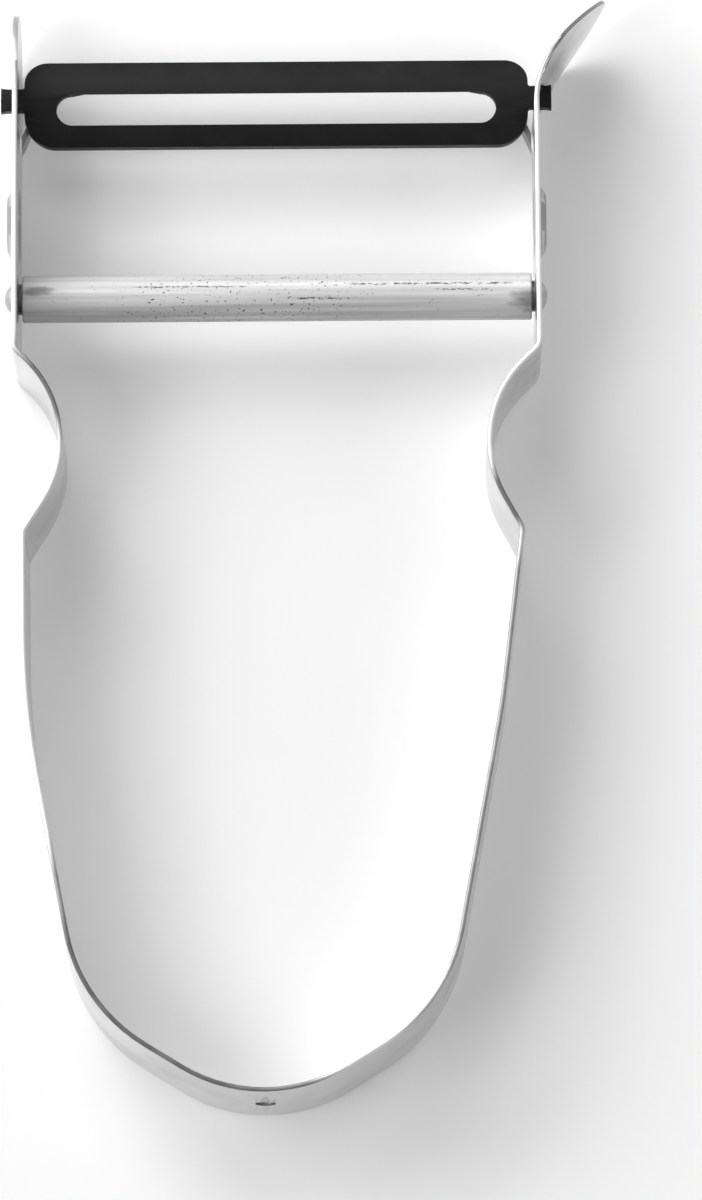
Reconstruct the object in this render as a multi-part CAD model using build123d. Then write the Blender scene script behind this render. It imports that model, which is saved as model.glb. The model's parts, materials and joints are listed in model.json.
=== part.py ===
from build123d import *
import os
from math import acos, asin, atan2, cos, hypot, radians, sin, sqrt, tan

# A steel strip peeler lying flat. X runs across the arms, +Y from the bow to the blade,
# +Z up from the table. Sizes are millimetres and heights along Y start at the bow's outer face.

# Strip that the handle is bent from
strip_width = 13.0
strip_thickness = 0.55

# Arms, finger notches and bow, measured on the middle of the strip's thickness
arm_half_span = 26.15
notch_height = 65.6
notch_depth = 4.85
notch_radius = 11.8
notch_corner_radius = 1.5
notch_upper_flank = 1.0
notch_lower_flank = 3.2
waist_step = 1.4
side_bend_inset = 2.55
side_bend_radius = 80.0
side_bend_height_share = 0.595
bow_corner_inset = 8.15
bow_rise_angle = 32.0
bow_radius_share = 0.855
bow_corner_radius_share = 0.944
bow_lean = 1.5
waist_lean = 0.5

# Heights of what the arms carry, and the arms' ends
crossbar_above_notch = 16.5
pivot_above_crossbar = 20.83
left_arm_reach = 8.7
gouger_bend_below_pivot = 2.45
gouger_bend_radius = 11.05
gouger_angle = 39.1
gouger_point_length = 7.4
gouger_edge_radius = 14.4
gouger_tip_radius = 1.2
gouger_rim_thickness = 0.42
gouger_dish = 0.1
gouger_half_bend_dish_share = 0.35

# Holes and formed details of the strip
hanging_hole_radius = 1.0
panel_above_crossbar = 7.7
panel_length = 7.8
panel_width = 5.8
panel_corner_radius = 2.6
panel_rise = 0.65
panel_slope_angle = 60.0
lug_root_below_pivot = 5.6
lug_length = 3.3
lug_angle = 24.0
lug_bend_radius = 2.6
lug_contact_share = 0.76
lug_width = 2.5
lug_shear_gap = 0.12

# Crossbar
tube_diameter = 4.75
tube_end_gap = 0.33
tube_edge_break = 0.15
pin_diameter = 3.12
tenon_diameter = 2.3
rivet_head_diameter = 3.2
rivet_head_rise = 0.9
rivet_set_head_rise = 0.67

# Blade, measured from its pivot axis
blade_end_gap = 0.465
blade_thickness = 0.9
blade_arch_radius = 10.0
blade_front_reach = 4.13
blade_back_reach = 4.72
blade_front_corner_radius = 2.4
blade_back_corner_radius = 3.1
slot_end_margin = 3.22
slot_width = 3.18
slot_middle_behind_axis = 1.04
cutting_bevel_width = 0.7
cutting_bevel_run_out = 3.0
cutting_edge_thickness = 0.12
tab_width = 2.3
tab_flare = 0.1
tab_head_length = 0.6
tab_neck_radius = 0.25

# Fits and the overrun of cutting tools
pivot_clearance = 0.065
pin_clearance = 0.03
tenon_clearance = 0.05
seat_gap = 0.02
stop_gap = 0.1
tab_head_gap = 0.1
cut_overrun = 1.0

strip_middle = strip_width / 2
half_thickness = strip_thickness / 2
crossbar_height = notch_height + crossbar_above_notch
pivot_height = crossbar_height + pivot_above_crossbar
panel_height = crossbar_height + panel_above_crossbar
bow_corner_half_span = arm_half_span - bow_corner_inset
pivot_hole_radius = hypot(tab_width, blade_thickness) / 2 + pivot_clearance
blade_half_length = arm_half_span - half_thickness - blade_end_gap
slot_half_length = blade_half_length - slot_end_margin
slot_front = slot_width / 2 - slot_middle_behind_axis
lug_root_height = pivot_height - lug_root_below_pivot
panel_slope = radians(panel_slope_angle)
panel_recess_inset = strip_thickness * (1 / sin(panel_slope) - 1) * tan(panel_slope)


def blade_underside_drop(reach):
    """How far the arched blade's underside lies below its axis at a distance behind it."""
    return blade_arch_radius - sqrt((blade_arch_radius - blade_thickness / 2) ** 2 - reach**2)


def bow_points():
    """Corner points of the bow's middle line before rounding, from the left side to the right."""
    rise = radians(bow_rise_angle)
    bow_radius = bow_corner_half_span * bow_radius_share
    bottom = half_thickness - bow_radius * (1 / cos(rise) - 1)
    corner_height = bottom + bow_corner_half_span * tan(rise)
    bend_half_span = arm_half_span - side_bend_inset
    bend_height = notch_height * side_bend_height_share
    return [
        (-bend_half_span - bow_lean, bend_height),
        (-bow_corner_half_span - bow_lean, corner_height),
        (-bow_lean, bottom),
        (bow_corner_half_span - bow_lean, corner_height),
        (bend_half_span - bow_lean, bend_height),
    ]


def flank_turn(depth, flank):
    """Angle through which the strip turns from an arm into a notch of that depth."""
    reach = notch_radius + notch_corner_radius
    return acos((reach - depth) / hypot(reach, flank)) - atan2(flank, reach)


def notch_points(side):
    """Corner points of one finger notch before rounding, from the arm down to the waist."""
    reach = notch_radius + notch_corner_radius
    upper = flank_turn(notch_depth, notch_upper_flank)
    lower = flank_turn(notch_depth - waist_step, notch_lower_flank)
    upper_height = reach * sin(upper) + notch_upper_flank * cos(upper)
    upper_height -= notch_corner_radius * tan(upper / 2)
    lower_height = reach * sin(lower) + notch_lower_flank * cos(lower)
    lower_height -= notch_corner_radius * tan(lower / 2)
    arc_centre = arm_half_span - notch_depth + notch_radius
    apex_reach = notch_radius / cos((upper + lower) / 2)
    apex_turn = (upper - lower) / 2
    return [
        (side * arm_half_span, notch_height + upper_height),
        (side * (arc_centre - apex_reach * cos(apex_turn)), notch_height + apex_reach * sin(apex_turn)),
        (side * (arm_half_span - waist_step) - waist_lean, notch_height - lower_height),
    ]


def strip_middle_line():
    """Middle line of the bent strip in plan, from the left arm's end round to the gouger's bend."""
    points = [(-arm_half_span, pivot_height + left_arm_reach)] + notch_points(-1)
    points += bow_points() + notch_points(1)[::-1]
    points.append((arm_half_span, pivot_height - gouger_bend_below_pivot))
    side_radii = [notch_corner_radius, notch_radius, notch_corner_radius, side_bend_radius]
    side_radii.append(bow_corner_half_span * bow_corner_radius_share)
    radii = side_radii + [bow_corner_half_span * bow_radius_share] + side_radii[::-1]
    return FilletPolyline(*points, radius=radii)


def strip_outline(middle_line):
    """Plan of the strip's thickness along its middle line, cut square at both ends."""
    middle = Wire(middle_line.edges())
    edges = []
    for side in (Side.LEFT, Side.RIGHT):
        edges += middle.offset_2d(half_thickness, side=side, closed=False).edges()
    for end in (0, 1):
        across = (middle % end).rotate(Axis.Z, 90) * half_thickness
        edges.append(Line(middle @ end - across, middle @ end + across).edge())
    return make_face(edges)


def bent_strip():
    return extrude(strip_outline(strip_middle_line()), strip_width)


def dished_section(plane, dish, thickness):
    """Cross-section of the gouger whose edges stand outwards by the dish."""
    outer = half_thickness
    inner = outer - thickness
    low = plane.from_local_coords((outer + dish, -strip_middle))
    high = plane.from_local_coords((outer + dish, strip_middle))
    back_low = plane.from_local_coords((inner + dish, -strip_middle))
    back_high = plane.from_local_coords((inner + dish, strip_middle))
    front_middle = plane.from_local_coords((outer, 0))
    back_middle = plane.from_local_coords((inner, 0))
    edges = [Line(low, back_low), Line(high, back_high)]
    if dish:
        edges += [ThreePointArc(low, front_middle, high), ThreePointArc(back_low, back_middle, back_high)]
    else:
        edges += [Line(low, high), Line(back_low, back_high)]
    return make_face([edge for part in edges for edge in part.edges()])


def gouger_plane(turn, past_bend):
    """Section plane of the gouger: local x points out of the face, local y points up."""
    angle = radians(turn)
    x = arm_half_span + gouger_bend_radius * (1 - cos(angle)) + past_bend * sin(angle)
    y = pivot_height - gouger_bend_below_pivot + gouger_bend_radius * sin(angle) + past_bend * cos(angle)
    outwards = Vector(cos(angle), -sin(angle), 0)
    along = Vector(sin(angle), cos(angle), 0)
    return Plane(origin=(x, y, strip_middle), x_dir=outwards, z_dir=-along)


def full_round_cutter():
    """What the full round end takes off the left arm, which is bent square-ended."""
    reach = strip_middle + cut_overrun
    depth = 2 * (strip_thickness + cut_overrun)
    height = pivot_height + left_arm_reach - strip_middle
    plane = Plane(origin=(-arm_half_span, height, strip_middle), x_dir=(0, 1, 0), z_dir=(-1, 0, 0))
    block = Box(reach, 2 * reach, depth, align=(Align.MIN, Align.CENTER, Align.CENTER))
    return plane * (block - Cylinder(strip_middle, depth))


def pointed_end_cutter():
    """What the pointed end takes off the gouger past the shoulders at its bend."""
    plane = gouger_plane(gouger_angle, 0)
    plane = Plane(origin=plane.origin, x_dir=-plane.z_dir, z_dir=plane.x_dir)
    arcs = [
        RadiusArc((0, strip_middle), (gouger_point_length, 0), gouger_edge_radius),
        RadiusArc((gouger_point_length, 0), (0, -strip_middle), gouger_edge_radius),
    ]
    point = make_face([arc.edge() for arc in arcs] + [Line((0, -strip_middle), (0, strip_middle)).edge()])
    point = fillet(point.vertices().sort_by(Axis.X)[-1], gouger_tip_radius)
    reach = strip_middle + cut_overrun
    blank = Rectangle(gouger_point_length + cut_overrun, 2 * reach, align=(Align.MIN, Align.CENTER))
    return plane * extrude(blank - point, strip_thickness + gouger_dish + cut_overrun, both=True)


def gouger():
    """Arm's end bent outwards, dished and pressed thinner towards its point."""
    half_bend = gouger_plane(gouger_angle / 2, 0)
    bend_end = gouger_plane(gouger_angle, 0)
    tip = gouger_plane(gouger_angle, gouger_point_length)
    half_bend_thickness = (strip_thickness + gouger_rim_thickness) / 2
    sections = [
        dished_section(gouger_plane(0, 0), 0, strip_thickness),
        dished_section(half_bend, gouger_dish * gouger_half_bend_dish_share, half_bend_thickness),
        dished_section(bend_end, gouger_dish, gouger_rim_thickness),
        dished_section(tip, gouger_dish, gouger_rim_thickness),
    ]
    return loft(sections) - pointed_end_cutter()


def pressed_panel(side, band):
    """Blank soft-edged panel pressed outwards in an arm, with its recess inside."""
    outer_face = Plane((side * (arm_half_span + half_thickness), panel_height, strip_middle), z_dir=(side, 0, 0),
                       x_dir=(0, 1, 0))
    inner_face = outer_face.offset(-strip_thickness)
    pad = RectangleRounded(panel_length, panel_width, panel_corner_radius)
    recess = RectangleRounded(panel_length - 2 * panel_recess_inset, panel_width - 2 * panel_recess_inset,
                              panel_corner_radius - panel_recess_inset)
    band += extrude(outer_face * pad, panel_rise, taper=panel_slope_angle)
    band -= extrude(inner_face * recess, panel_rise, taper=panel_slope_angle)
    return band


def stop_lug(side, band):
    """Tongue lanced out of an arm below its pivot and bent inwards, with the window it leaves."""
    contact = lug_root_below_pivot - lug_length * lug_contact_share
    top = strip_middle - blade_underside_drop(contact) - stop_gap
    root = lug_root_height
    window_height = lug_length + lug_shear_gap
    window = Box(strip_thickness + 2 * cut_overrun, window_height, lug_width + 2 * lug_shear_gap,
                 align=(Align.CENTER, Align.MIN, Align.CENTER))
    band -= Pos(side * arm_half_span, root, top - lug_width / 2) * window
    lean = radians(lug_angle)
    points = [
        (side * arm_half_span, root - strip_thickness),
        (side * arm_half_span, root + lug_bend_radius * tan(lean / 2)),
    ]
    free = lug_length - lug_bend_radius * tan(lean / 2)
    points.append((side * (arm_half_span - free * sin(lean)), points[1][1] + free * cos(lean)))
    outline = strip_outline(FilletPolyline(*points, radius=lug_bend_radius))
    return band + Pos(0, 0, top - lug_width) * extrude(outline, lug_width)


def cross_hole(radius, height):
    """Straight bore through both arms along X at a height above the bow."""
    reach = arm_half_span + gouger_bend_radius
    return Pos(0, height, strip_middle) * Rot(0, 90, 0) * Cylinder(radius, 2 * reach)


def handle_band():
    band = bent_strip() + gouger() - full_round_cutter()
    for side in (-1, 1):
        band = pressed_panel(side, band)
        band = stop_lug(side, band)
    band -= cross_hole(pivot_hole_radius, pivot_height)
    band -= cross_hole(tenon_diameter / 2 + tenon_clearance, crossbar_height)
    hanging_hole = Cylinder(hanging_hole_radius, 2 * (strip_thickness + cut_overrun))
    band -= Pos(-bow_lean, half_thickness, strip_middle) * Rot(90, 0, 0) * hanging_hole
    return band


def blade_plan():
    """Outline of the blade from above, about its pivot axis, with its tabs."""
    plate = Pos(0, (blade_front_reach - blade_back_reach) / 2) * Rectangle(
        2 * blade_half_length, blade_front_reach + blade_back_reach)
    corners = plate.vertices().sort_by(Axis.Y)
    plate = fillet(corners[:2], blade_back_corner_radius)
    plate = fillet(plate.vertices().group_by(Axis.Y)[-1], blade_front_corner_radius)
    tabs = [blade_tab(side) for side in (-1, 1)]
    plate += tabs
    necks = [
        corner for corner in plate.vertices()
        if abs(abs(corner.X) - blade_half_length) < seat_gap and abs(corner.Y) < tab_width / 2 + seat_gap
    ]
    return fillet(necks, tab_neck_radius)


def tab_head_start():
    """Distance from the middle at which a tab has passed its arm and begins to flare."""
    hole_rise = gouger_bend_radius - sqrt(
        gouger_bend_radius**2 - (gouger_bend_below_pivot + pivot_hole_radius) ** 2)
    return arm_half_span + half_thickness + hole_rise + tab_head_gap


def blade_tab(side):
    start = tab_head_start()
    half_width = tab_width / 2
    half_head = half_width + tab_flare
    points = [
        (side * (blade_half_length - tab_width), half_width),
        (side * start, half_width),
        (side * (start + tab_head_length), half_head),
        (side * (start + tab_head_length), -half_head),
        (side * start, -half_width),
        (side * (blade_half_length - tab_width), -half_width),
    ]
    return make_face(Polyline(*points, close=True))


def blade_slot():
    """Long slot between the blade's cutting bar and its guide bar."""
    return Pos(0, -slot_middle_behind_axis) * SlotOverall(2 * slot_half_length, slot_width)


def cutting_bevel():
    """Wedge ground off the underside of the slot's front edge, running out towards both ends."""
    top = blade_thickness / 2 - cutting_edge_thickness
    bottom = -blade_thickness / 2
    slope = (top - bottom) / cutting_bevel_width
    high = top + slope * cut_overrun
    low = bottom - slope * cut_overrun
    section = [
        (slot_front - cut_overrun, high),
        (slot_front + cutting_bevel_width + cut_overrun, low),
        (slot_front - cut_overrun, low),
    ]
    straight = slot_half_length - slot_width / 2
    wheel_path = [
        (-straight, low),
        (-straight, bottom),
        (cutting_bevel_run_out - straight, high),
        (straight - cutting_bevel_run_out, high),
        (straight, bottom),
        (straight, low),
    ]
    wedge = extrude(Plane.YZ * make_face(Polyline(*section, close=True)), straight, both=True)
    reach = blade_front_reach + blade_back_reach
    return wedge & extrude(Plane.XZ * make_face(Polyline(*wheel_path, close=True)), reach, both=True)


def swivel_blade():
    """Arched sheet blade: its crown runs along the pivot axis and its tabs turn in the arms."""
    arch_length = 2 * (tab_head_start() + tab_head_length + cut_overrun)
    arch = Cylinder(blade_arch_radius + blade_thickness / 2, arch_length)
    arch -= Cylinder(blade_arch_radius - blade_thickness / 2, arch_length)
    arch = Pos(0, 0, -blade_arch_radius) * Rot(0, 90, 0) * arch
    plan = blade_plan() - blade_slot()
    blade = Pos(0, 0, -blade_arch_radius) * extrude(plan, 2 * blade_arch_radius) & arch
    return Pos(0, pivot_height, strip_middle) * (blade - cutting_bevel())


def crossbar_tube():
    length = 2 * (arm_half_span - half_thickness - tube_end_gap)
    tube = Cylinder(tube_diameter / 2, length)
    tube = chamfer(tube.edges().filter_by(GeomType.CIRCLE), tube_edge_break)
    tube -= Cylinder(pin_diameter / 2 + pin_clearance, length)
    return Pos(0, crossbar_height, strip_middle) * Rot(0, 90, 0) * tube


def rivet_half(head_rise):
    """Half of the pin with its shoulder inside an arm, its tenon and a rounded head outside."""
    shoulder = arm_half_span - half_thickness - seat_gap
    head_base = arm_half_span + half_thickness + seat_gap
    head_radius = rivet_head_diameter / 2
    head_tip = head_base + head_rise
    dome_radius = (head_radius**2 + head_rise**2) / (2 * head_rise)
    half_turn = asin(head_radius / dome_radius) / 2
    dome_middle = (head_tip - dome_radius * (1 - cos(half_turn)), dome_radius * sin(half_turn))
    edges = [Line((0, 0), (head_tip, 0)), ThreePointArc((head_tip, 0), dome_middle, (head_base, head_radius))]
    edges.append(Polyline(
        (head_base, head_radius),
        (head_base, tenon_diameter / 2),
        (shoulder, tenon_diameter / 2),
        (shoulder, pin_diameter / 2),
        (0, pin_diameter / 2),
        (0, 0),
    ))
    return revolve(make_face([edge for part in edges for edge in part.edges()]), Axis.X)


def crossbar_rivet():
    """Rivet with its made head outside the left arm and the flatter set head outside the right."""
    rivet = rivet_half(rivet_set_head_rise) + mirror(rivet_half(rivet_head_rise), Plane.YZ)
    return Pos(0, crossbar_height, strip_middle) * rivet


def build():
    pieces = {
        "handle_band": handle_band(),
        "swivel_blade": swivel_blade(),
        "crossbar_tube": crossbar_tube(),
        "crossbar_rivet": crossbar_rivet(),
    }
    box = Compound(children=[Part() + piece for piece in pieces.values()]).bounding_box()
    origin = Vector(box.center().X, box.center().Y, box.min.Z)
    os.makedirs("parts", exist_ok=True)
    for name, piece in pieces.items():
        export_step(Pos(-origin) * piece, f"parts/{name}.step")
        print(name, "solids", len(piece.solids()), "volume", piece.volume)
    print("box", box.size, "shift", origin)
    print("pivot axis", Vector(0, pivot_height, strip_middle) - origin)
    print("crossbar axis", Vector(0, crossbar_height, strip_middle) - origin)
    print("hanging hole", Vector(-bow_lean, half_thickness, strip_middle) - origin)


if __name__ == "__main__":
    build()
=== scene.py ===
import json
from math import cos, hypot, radians, sin

import bpy
from mathutils import Matrix, Vector


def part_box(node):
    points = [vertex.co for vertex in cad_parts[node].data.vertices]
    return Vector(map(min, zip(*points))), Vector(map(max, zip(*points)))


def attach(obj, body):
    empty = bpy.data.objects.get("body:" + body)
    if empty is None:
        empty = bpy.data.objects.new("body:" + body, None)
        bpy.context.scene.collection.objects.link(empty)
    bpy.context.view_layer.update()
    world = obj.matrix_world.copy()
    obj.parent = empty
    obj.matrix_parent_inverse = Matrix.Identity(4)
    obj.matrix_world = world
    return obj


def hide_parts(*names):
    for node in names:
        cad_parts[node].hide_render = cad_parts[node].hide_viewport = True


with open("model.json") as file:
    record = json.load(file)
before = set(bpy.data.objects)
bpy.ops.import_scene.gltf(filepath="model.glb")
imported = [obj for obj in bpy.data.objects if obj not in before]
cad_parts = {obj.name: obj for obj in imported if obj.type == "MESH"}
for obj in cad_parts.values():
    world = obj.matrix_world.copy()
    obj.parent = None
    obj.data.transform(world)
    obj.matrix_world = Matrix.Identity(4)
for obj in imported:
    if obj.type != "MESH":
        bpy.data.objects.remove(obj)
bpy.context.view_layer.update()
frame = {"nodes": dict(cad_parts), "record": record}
nodes = frame["nodes"]
print("frame loaded:", ", ".join(sorted(nodes)))

mm = 0.001

# the blade swings about this line, and the tube lies round the other one
bladeAxis = Vector(frame["record"]["behaviour"]["joints"][0]["pos_m"])
tubeLow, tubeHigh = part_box("crossbar_tube")
tubeAxis = (Vector(tubeLow) + Vector(tubeHigh)) / 2
holeMiddle = Vector(frame["record"]["mounts"][0]["pos_m"])


# a wrapped socket, so that shader maths reads as maths
class Wire:
    def __init__(self, graph, socket):
        self.graph = graph
        self.socket = socket

    def maths(self, operation, first, second=0.0):
        return self.graph.node("ShaderNodeMath", {"operation": operation}, {0: first, 1: second})

    def __add__(self, other):
        return self.maths("ADD", self, other)

    __radd__ = __add__

    def __mul__(self, other):
        return self.maths("MULTIPLY", self, other)

    __rmul__ = __mul__

    def __sub__(self, other):
        return self.maths("SUBTRACT", self, other)

    def __rsub__(self, other):
        return self.maths("SUBTRACT", other, self)

    def size(self):
        return self.maths("ABSOLUTE", self)


# the shader nodes of a material or of the world
class Graph:
    def __init__(self, owner):
        self.owner = owner
        owner.use_nodes = True
        self.tree = owner.node_tree
        self.tree.nodes.clear()

    # any node: its type, its settings, then its sockets' values or links
    def node(self, kind, settings=None, inputs=None, output=0):
        made = self.tree.nodes.new(kind)
        for key, value in (settings or {}).items():
            setattr(made, key, value)
        for key, value in (inputs or {}).items():
            if isinstance(value, Wire):
                self.tree.links.new(value.socket, made.inputs[key])
            else:
                made.inputs[key].default_value = value
        return Wire(self, made.outputs[output]) if made.outputs else made

    def place(self):
        return self.node("ShaderNodeTexCoord", output="Object")

    def facing(self, axis):
        normal = self.node("ShaderNodeTexCoord", output="Normal")
        return self.node("ShaderNodeSeparateXYZ", inputs={0: normal}, output=axis)

    def along(self, axis):
        return self.node("ShaderNodeSeparateXYZ", inputs={0: self.place()}, output=axis)

    def stretched(self, scale, turn=(0, 0, 0)):
        return self.node("ShaderNodeMapping", {"vector_type": "POINT"},
                         {"Vector": self.place(), "Scale": scale, "Rotation": turn})

    def noise(self, vector, scale, detail, rough, warp=0.0):
        return self.node("ShaderNodeTexNoise", {"noise_dimensions": "3D"}, {
            "Vector": vector, "Scale": scale, "Detail": detail, "Roughness": rough, "Distortion": warp})

    def ramp(self, value, low, high, start=0.0, end=1.0):
        return self.node("ShaderNodeMapRange", {"clamp": True},
                         {"Value": value, "From Min": low, "From Max": high, "To Min": start, "To Max": end})

    # 1 within a distance of a place, fading out to 0
    def near(self, middle, inside, outside):
        apart = self.node("ShaderNodeVectorMath", {"operation": "DISTANCE"}, {0: self.place(), 1: middle},
                          output="Value")
        return self.ramp(apart, inside, outside, 1.0, 0.0)

    # a round patch: 1 within the core's share of its reach, 0 from the fade's share outwards
    def patch(self, spot):
        reach = spot["reach"] * mm
        return self.near(Vector(spot["middle"]) * mm, spot["core"] * reach, spot["fade"] * reach)

    def between(self, value, low, high, soft):
        return self.ramp(value, low - soft, low + soft) * self.ramp(value, high - soft, high + soft, 1.0, 0.0)

    def blend(self, factor, first, second):
        return self.node("ShaderNodeMix", {"data_type": "RGBA", "clamp_factor": True},
                         {0: factor, 6: first, 7: second}, output=2)

    def bump(self, height, distance):
        return self.node("ShaderNodeBump", {}, {"Height": height, "Distance": distance, "Strength": 1.0})

    def metal(self, color, rough, normal):
        shader = self.node("ShaderNodeBsdfPrincipled", {}, {
            "Base Color": color, "Metallic": 1.0, "Roughness": rough, "Normal": normal})
        return self.finish(shader)

    def finish(self, shader, kind="ShaderNodeOutputMaterial"):
        self.node(kind, {}, {"Surface": shader})
        return self.owner


def grey(level):
    return (level, level, level, 1.0)


# bright rolled strip: fine roll lines along it, soft cloudy wear, brighter sheared edges and patches of
# painted shade
stripLook = {
    "shade": 0.64, "wornShade": 0.53, "edgeShade": 0.80, "roughness": 0.17, "wornRoughness": 0.28,
    "edgeRoughness": 0.42, "rollHeight": 0.003 * mm,
    # painted shade on the upper rim, in the bends and down the sides: place along X and Y, reach and strength
    "paintedRimShade": [(-26.8, 14.0, 7.0, 0.9), (20.2, 3.0, 5.0, 0.9), (-24.8, -37.5, 7.0, 0.7),
                 (-21.5, -44.0, 7.0, 0.9), (-16.5, -49.5, 7.0, 0.9), (-10.0, -53.5, 7.0, 0.9),
                 (-3.0, -55.0, 7.0, 0.8), (20.9, -7.4, 8.0, 0.7), (19.3, -17.6, 8.0, 0.7),
                 (17.5, -28.0, 8.0, 0.7), (15.4, -38.0, 8.0, 0.7), (12.0, -46.0, 7.0, 0.5)],
    "rimHeight": 13, "paintedRimShadeLevel": 0.08,
    # painted shade: the left arm's top, the lower left of the gouger's face and its upward-facing rim are
    # darkened
    "armTop": {"middle": (-28.9, 52.5, 6.5), "reach": 8.5, "core": 0.8, "fade": 1.2, "shade": 0.42},
    "gougerFace": {"middle": (25.2, 48.2, 8), "reach": 7.5, "core": 0.3, "fade": 1.0, "shade": 0.30},
    "gougerRim": {"middle": (27.0, 53.0, 8), "reach": 8.0, "core": 0.8, "fade": 1.1, "shade": 0.26},
    # painted shade on the wall of the hanging hole and on the lugs: how far out from the middle they end, and
    # their span along Y from the blade's axis
    "holeShade": 0.20, "holeReach": (1.03 * mm, 1.08 * mm),
    "lugShade": 0.16, "lugEnd": (25.70 * mm, 25.80 * mm),
    "lugSpan": (-6.5 * mm, -1.5 * mm), "lugSoft": 0.3 * mm,
}


def stripSteel():
    g = Graph(bpy.data.materials.new("rolledStripSteel"))
    roll = g.noise(g.stretched((18, 18, 9000)), 1.0, 4.0, 0.6)
    cloud = g.noise(g.place(), 160.0, 4.0, 0.55, 0.3)
    scuff = g.noise(g.stretched((700, 700, 5200), (0.3, 0.2, 0)), 1.0, 3.0, 0.7)
    wear = g.ramp(cloud, 0.42, 0.70)
    edge = g.ramp(g.facing(2).size(), 0.45, 0.75)
    dull = wear * 0.6 + 0.25 * g.ramp(roll, 0.5, 0.75)
    color = g.blend(dull, grey(stripLook["shade"]), grey(stripLook["wornShade"]))
    color = g.blend(edge, color, grey(stripLook["edgeShade"]))
    # painted shade: the rim faces are darkened in these patches
    for x, y, reach, strength in stripLook["paintedRimShade"]:
        rimShadeMask = g.patch({"middle": (x, y, stripLook["rimHeight"]), "reach": reach, "core": 0.4, "fade": 1.0})
        color = g.blend(rimShadeMask * edge * strength, color, grey(stripLook["paintedRimShadeLevel"]))
    # painted shade on the left arm's top and on the gouger's face and upward-facing rim
    armTop, gougerFace, gougerRim = stripLook["armTop"], stripLook["gougerFace"], stripLook["gougerRim"]
    color = g.blend(g.patch(armTop), color, grey(armTop["shade"]))
    color = g.blend(g.patch(gougerFace), color, grey(gougerFace["shade"]))
    upward = g.ramp(g.facing(2), 0.15, 0.35)
    color = g.blend(upward * g.patch(gougerRim), color, grey(gougerRim["shade"]))
    # painted shade: the lugs under the blade and the wall of the hanging hole are darkened
    inside = g.ramp((g.along(0) - bladeAxis.x).size(), *stripLook["lugEnd"], 1.0, 0.0)
    lug = inside * g.between(g.along(1) - bladeAxis.y, *stripLook["lugSpan"], stripLook["lugSoft"])
    color = g.blend(lug, color, grey(stripLook["lugShade"]))
    color = g.blend(g.near(holeMiddle, *stripLook["holeReach"]), color, grey(stripLook["holeShade"]))
    scuffed = wear + 0.4 * g.ramp(scuff, 0.55, 0.75)
    rough = g.ramp(scuffed, 0.0, 1.2, stripLook["roughness"], stripLook["wornRoughness"])
    rough = rough * (1 - edge) + edge * stripLook["edgeRoughness"]
    normal = g.bump(roll * 0.6 + scuff * 0.4, stripLook["rollHeight"])
    return g.metal(color, rough, normal)


# black satin sheet: low gloss, faint grain along it and a little mottling
bladeLook = {
    "shade": 0.004, "mottleShade": 0.009, "roughness": 0.34, "mottleRoughness": 0.48, "gloss": 0.16,
    "grainHeight": 0.002 * mm,
}


def bladeSteel():
    g = Graph(bpy.data.materials.new("blackSatinBlade"))
    cloud = g.noise(g.place(), 220.0, 4.0, 0.6, 0.4)
    grain = g.noise(g.stretched((900, 5200, 5200)), 1.0, 3.0, 0.6)
    mottle = g.ramp(cloud, 0.40, 0.72)
    color = g.blend(mottle, grey(bladeLook["shade"]), grey(bladeLook["mottleShade"]))
    rough = g.ramp(mottle, 0.0, 1.0, bladeLook["roughness"], bladeLook["mottleRoughness"])
    shader = g.node("ShaderNodeBsdfPrincipled", {}, {
        "Base Color": color, "Metallic": 0.0, "Roughness": rough, "Specular IOR Level": bladeLook["gloss"],
        "Normal": g.bump(grain, bladeLook["grainHeight"])})
    return g.finish(shader)


# drawn tube: soft draw lines along it, ragged scores, rows of pits and a dark smudge near each end
tubeLook = {
    "shade": 0.69, "lineShade": 0.55, "pitShade": 0.08, "scoreShade": 0.14, "smudgeShade": 0.20,
    "roughness": 0.70, "pitDepth": 0.02 * mm, "wander": 0.35 * mm,
    # start and end along the tube, place across it, half width
    "scores": [(4.6, 20.4, 0.75, 0.07), (13.2, 18.2, 0.10, 0.05), (-1.7, 5.2, -0.72, 0.06),
               (-17.0, -6.0, 0.55, 0.04)],
    # middle along and across the tube, half length, half width
    "smudges": [(-26.9, 0.2, 1.3, 0.4), (22.4, -0.9, 1.5, 0.9)],
    # start, end and soft margin of the pitted stretch
    "pitted": (-17.5, 6.0, 3),
}


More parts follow.
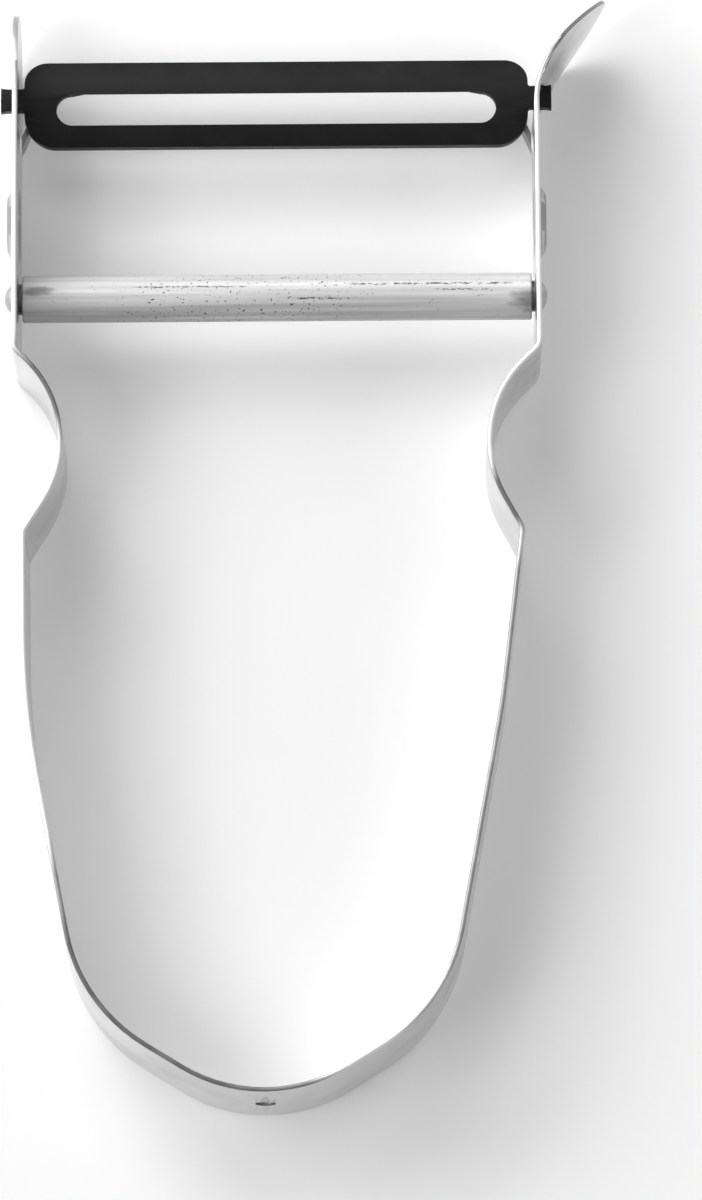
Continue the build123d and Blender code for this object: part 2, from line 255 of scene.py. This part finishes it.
def tubeSteel():
    g = Graph(bpy.data.materials.new("drawnTubeSteel"))
    x = g.along(0)
    across = g.along(1) - tubeAxis.y
    drawn = g.noise(g.stretched((60, 9000, 9000)), 1.0, 3.0, 0.6)
    broad = g.noise(g.stretched((40, 1500, 1500)), 1.0, 3.0, 0.5)
    ragged = g.noise(g.stretched((2400, 5200, 5200)), 1.0, 3.0, 0.7)
    wander = (g.noise(g.stretched((500, 0, 0)), 1.0, 3.0, 0.6) - 0.5) * tubeLook["wander"]
    score = 0.0
    for start, end, place, half in tubeLook["scores"]:
        line = g.ramp((across + wander - place * mm).size(), half * mm, 2.2 * half * mm, 1.0, 0.0)
        score = score + line * g.between(x, start * mm, end * mm, 0.5 * mm)
    score = score * g.ramp(ragged, 0.46, 0.56)
    blotch = g.noise(g.stretched((500, 1400, 1400)), 1.0, 4.0, 0.65)
    smudge = 0.0
    for middle, place, halfLength, halfWidth in tubeLook["smudges"]:
        out = (x - middle * mm) * (1 / (halfLength * mm))
        off = (across - place * mm) * (1 / (halfWidth * mm))
        away = out * out + off * off
        smudge = smudge + g.ramp(away + (blotch - 0.5) * 4.0, 0.2, 2.2, 1.0, 0.0)
    pits = g.noise(g.stretched((3300, 4300, 4300)), 1.0, 2.0, 0.5)
    start, end, margin = tubeLook["pitted"]
    pitted = 0.35 + 0.65 * g.between(x, start * mm, end * mm, margin * mm)
    pit = g.ramp(pits + 0.08 * pitted, 0.735, 0.765)
    color = g.blend(g.ramp(broad, 0.42, 0.66), grey(tubeLook["shade"]), grey(tubeLook["lineShade"]))
    color = g.blend(0.75 * smudge, color, grey(tubeLook["smudgeShade"]))
    color = g.blend(score, color, grey(tubeLook["scoreShade"]))
    color = g.blend(pit, color, grey(tubeLook["pitShade"]))
    rough = tubeLook["roughness"] + 0.1 * g.ramp(drawn, 0.4, 0.7) + 0.15 * pit
    normal = g.bump(drawn * 0.3 - pit - score * 0.6, tubeLook["pitDepth"])
    return g.metal(color, rough, normal)


# rivet: plain bright steel, its heads a little dented by the setting tool, its pin darkened with painted
# shade
rivetLook = {
    "shade": 0.56, "dullShade": 0.38, "pinShade": 0.10, "roughness": 0.28, "dullRoughness": 0.44,
    "dentDepth": 0.01 * mm, "pinEnd": (25.80 * mm, 25.86 * mm),
}


def rivetSteel():
    g = Graph(bpy.data.materials.new("rivetHeadSteel"))
    cloud = g.noise(g.place(), 600.0, 3.0, 0.6)
    dents = g.noise(g.place(), 1500.0, 2.0, 0.5)
    dull = g.ramp(cloud, 0.4, 0.7)
    color = g.blend(dull, grey(rivetLook["shade"]), grey(rivetLook["dullShade"]))
    # painted shade: the pin between the arms is darkened where it shows in the narrow gaps beside the tube
    pin = g.ramp((g.along(0) - tubeAxis.x).size(), *rivetLook["pinEnd"], 1.0, 0.0)
    color = g.blend(pin, color, grey(rivetLook["pinShade"]))
    rough = g.ramp(dull, 0.0, 1.0, rivetLook["roughness"], rivetLook["dullRoughness"])
    return g.metal(color, rough, g.bump(dents, rivetLook["dentDepth"]))


def onlySelect(piece):
    bpy.ops.object.select_all(action="DESELECT")
    piece.select_set(True)
    bpy.context.view_layer.objects.active = piece


# points closer than this are one, faces this flat are joined, edges this sharp are broken
# and what is left below the smooth angle is shaded smooth, in degrees
meshCut = {"join": 0.002 * mm, "flat": 0.05, "sharp": 35, "smooth": 32}


# a copy of a CAD solid with its points merged and its flat faces whole again
def mergedCopy(nodeName, pieceName):
    piece = nodes[nodeName].copy()
    piece.data = nodes[nodeName].data.copy()
    piece.name = pieceName
    for key in list(piece.keys()):
        if key.startswith("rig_"):
            del piece[key]
    piece.parent = None
    bpy.context.scene.collection.objects.link(piece)
    onlySelect(piece)
    bpy.ops.mesh.customdata_custom_splitnormals_clear()
    bpy.ops.object.mode_set(mode="EDIT")
    bpy.ops.mesh.select_all(action="SELECT")
    bpy.ops.mesh.remove_doubles(threshold=meshCut["join"])
    bpy.ops.mesh.dissolve_limited(angle_limit=radians(meshCut["flat"]))
    bpy.ops.object.mode_set(mode="OBJECT")
    return piece


# breaks the sharp edges, shades the rest smooth and hands the piece over
def dress(piece, nodeName, body, material, look):
    onlySelect(piece)
    bevel = piece.modifiers.new("edgeBreak", "BEVEL")
    bevel.width = look["edgeBreak"]
    bevel.segments = look["segments"]
    bevel.limit_method = "ANGLE"
    bevel.angle_limit = radians(meshCut["sharp"])
    bpy.ops.object.modifier_apply(modifier="edgeBreak")
    bpy.ops.object.shade_smooth_by_angle(angle=radians(meshCut["smooth"]), keep_sharp_edges=False)
    flat = piece.modifiers.new("flatFaces", "WEIGHTED_NORMAL")
    flat.keep_sharp = True
    bpy.ops.object.modifier_apply(modifier="flatFaces")
    piece.data.materials.clear()
    piece.data.materials.append(material)
    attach(piece, body)
    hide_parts(nodeName)
    print(piece.name, "faces", len(piece.data.polygons))


# a rim edge lies this near one of the strip's two rim planes, and its faces meet about square
stripCut = {
    "edgeBreak": 0.06 * mm, "segments": 2, "rimRound": 0.25 * mm, "rimSegments": 5, "near": 0.002 * mm,
    "square": 0.3,
}


# rolled strip has rounded rims: the long edges in its two rim planes are rounded off
def roundRims(piece):
    low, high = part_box("handle_band")
    mesh = piece.data
    sides = {}
    for face in mesh.polygons:
        for key in face.edge_keys:
            sides.setdefault(key, []).append(face.normal.copy())
    for item in (*mesh.vertices, *mesh.edges, *mesh.polygons):
        item.select = False
    for edge in mesh.edges:
        ends = [mesh.vertices[i].co.z for i in edge.vertices]
        onRim = any(max(abs(z - level) for z in ends) < stripCut["near"] for level in (low[2], high[2]))
        normals = sides.get(edge.key, [])
        edge.select = onRim and len(normals) == 2 and normals[0].dot(normals[1]) < stripCut["square"]
    bpy.ops.object.mode_set(mode="EDIT")
    bpy.ops.mesh.select_mode(type="EDGE")
    print("rim edges", sum(1 for edge in mesh.edges if edge.select))
    bpy.ops.mesh.bevel(offset=stripCut["rimRound"], segments=stripCut["rimSegments"], affect="EDGES",
                       clamp_overlap=False)
    bpy.ops.mesh.select_mode(type="VERT")
    bpy.ops.object.mode_set(mode="OBJECT")
    return piece


strip = roundRims(mergedCopy("handle_band", "handleStrip"))
dress(strip, "handle_band", "handle", stripSteel(), stripCut)

# the blade's arch is cut fine and its points drawn onto two true cylinders, so that it shines evenly
bladeCut = {
    "edgeBreak": 0.07 * mm, "segments": 2, "archRadius": 10.0 * mm, "thickness": 0.9 * mm,
    # the width of a stripe, and how near a cut a point counts as on it
    "stripe": 0.25 * mm, "level": 0.01 * mm,
    "near": 0.03 * mm, "helperSides": 720, "helperLength": 100 * mm,
}


def archBlade(piece):
    low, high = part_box("swivel_blade")
    centre = Vector((bladeAxis.x, bladeAxis.y, bladeAxis.z - bladeCut["archRadius"]))
    bpy.ops.object.mode_set(mode="EDIT")
    stripe = low[1] + bladeCut["stripe"]
    while stripe < high[1]:
        bpy.ops.mesh.select_all(action="SELECT")
        bpy.ops.mesh.bisect(plane_co=(0, stripe, 0), plane_no=(0, 1, 0), threshold=bladeCut["level"])
        stripe += bladeCut["stripe"]
    bpy.ops.object.mode_set(mode="OBJECT")
    for name, side in (("topFace", 1), ("underFace", -1)):
        radius = bladeCut["archRadius"] + side * bladeCut["thickness"] / 2
        group = piece.vertex_groups.new(name=name)
        onFace = [v.index for v in piece.data.vertices
                  if abs(hypot(v.co.y - centre.y, v.co.z - centre.z) - radius) < bladeCut["near"]]
        group.add(onFace, 1.0, "REPLACE")
        bpy.ops.mesh.primitive_cylinder_add(vertices=bladeCut["helperSides"], radius=radius,
                                            depth=bladeCut["helperLength"], location=centre,
                                            rotation=(0, radians(90), 0))
        helper = bpy.context.active_object
        onlySelect(piece)
        wrap = piece.modifiers.new(name, "SHRINKWRAP")
        wrap.target = helper
        wrap.wrap_method = "PROJECT"
        wrap.use_project_z = True
        wrap.use_negative_direction = True
        wrap.use_positive_direction = True
        wrap.project_limit = 2 * bladeCut["near"]
        wrap.vertex_group = name
        bpy.ops.object.modifier_apply(modifier=name)
        bpy.data.objects.remove(helper)
        print(name, "points drawn on", len(onFace))
    piece.vertex_groups.clear()
    return piece


blade = archBlade(mergedCopy("swivel_blade", "slottedBlade"))
dress(blade, "swivel_blade", "blade", bladeSteel(), bladeCut)

tubeCut = {"edgeBreak": 0.03 * mm, "segments": 2}
tube = mergedCopy("crossbar_tube", "crossbarTube")
dress(tube, "crossbar_tube", "handle", tubeSteel(), tubeCut)

rivetCut = {"edgeBreak": 0.04 * mm, "segments": 2}
rivet = mergedCopy("crossbar_rivet", "crossbarRivet")
dress(rivet, "crossbar_rivet", "handle", rivetSteel(), rivetCut)

floorLook = {"shade": 0.92, "glow": 0.11, "size": 3.0}


# 1 for the rays that see a surface or mirror it, 0 for those that only light others
def seenRays(g):
    seen = g.node("ShaderNodeLightPath", output="Is Camera Ray")
    for kind in ("Is Glossy Ray", "Is Transmission Ray"):
        seen = seen.maths("MAXIMUM", seen, g.node("ShaderNodeLightPath", output=kind))
    return seen


def paleFloor():
    g = Graph(bpy.data.materials.new("paleFloor"))
    lit = g.node("ShaderNodeBsdfDiffuse", {}, {"Color": grey(floorLook["shade"])})
    glow = g.node("ShaderNodeEmission", {}, {"Color": grey(1.0), "Strength": seenRays(g) * floorLook["glow"]})
    return g.finish(g.node("ShaderNodeAddShader", {}, {0: lit, 1: glow}))


bpy.ops.object.select_all(action="DESELECT")
bpy.ops.mesh.primitive_plane_add(size=floorLook["size"], location=(0, 0, 0))
floor = bpy.context.active_object
floor.name = "floor"
floor.data.materials.append(paleFloor())

# soft boxes round the table: azimuth from +Y towards +X and height in degrees, power in watts,
# and whether the steel mirrors the box itself
boxLook = {"distance": 0.8, "size": 0.4}
softBoxes = {
    "keyBox": (324, 28, 2.73, True),
    "leftBox": (288, 28, 2.42, True),
    "farBox": (337, 48, 1.45, True),
    "highLeftBox": (247, 48, 1.93, False),
    "lowFarBox": (45, 10, 3.35, False),
    "rightBox": (108, 28, 1.21, False),
    "nearBox": (157, 48, 0.38, False),
}

for name, (azimuth, height, power, mirrored) in softBoxes.items():
    turn, rise = radians(azimuth), radians(height)
    away = Vector((sin(turn) * cos(rise), cos(turn) * cos(rise), sin(rise)))
    bpy.ops.object.light_add(type="AREA", location=away * boxLook["distance"])
    lamp = bpy.context.active_object
    lamp.name = name
    lamp.data.size = boxLook["size"]
    lamp.data.energy = power
    lamp.rotation_euler = away.to_track_quat("Z", "Y").to_euler()
    lamp.visible_glossy = mirrored

# what the steel mirrors beside the soft boxes: a pale room, brightest overhead to the far left
roomLook = {
    "towards": (-0.50, 0.45, 0.74), "dim": 0.42, "bright": 1.0, "from": -0.2, "to": 0.8,
    "light": 0.07,  # what it sheds on the table
}
world = bpy.data.worlds.new("softRoom")
bpy.context.scene.world = world
room = Graph(world)
direction = room.node("ShaderNodeTexCoord", output="Generated")
facing = room.node("ShaderNodeVectorMath", {"operation": "DOT_PRODUCT"},
                   {0: direction, 1: roomLook["towards"]}, output="Value")
level = room.ramp(facing, roomLook["from"], roomLook["to"], roomLook["dim"], roomLook["bright"])
seen = seenRays(room)
strength = seen * level + (1 - seen) * roomLook["light"]
background = room.node("ShaderNodeBackground", {}, {"Color": grey(1.0), "Strength": strength})
room.finish(background, "ShaderNodeOutputWorld")

# the camera looks at this place from the front, raised and rolled by these degrees
cameraLook = {
    "target": (0.0043573, -0.0057675, 0.0065), "distance": 0.8, "elevation": 76.05, "roll": -0.4,
    "lens": 160.9, "sensor": 24.0,
}
bpy.ops.object.camera_add()
camera = bpy.context.active_object
camera.name = "photoCamera"
camera.data.sensor_fit = "VERTICAL"
camera.data.sensor_height = cameraLook["sensor"]
camera.data.lens = cameraLook["lens"]
rise = radians(cameraLook["elevation"])
place = Vector(cameraLook["target"]) + Vector((0, -cos(rise), sin(rise))) * cameraLook["distance"]
tilt = Matrix.Rotation(radians(90) - rise, 4, "X") @ Matrix.Rotation(radians(cameraLook["roll"]), 4, "Z")
camera.matrix_world = Matrix.Translation(place) @ tilt
bpy.context.scene.camera = camera
bpy.context.scene.view_settings.view_transform = "Standard"
print("camera and soft boxes placed")
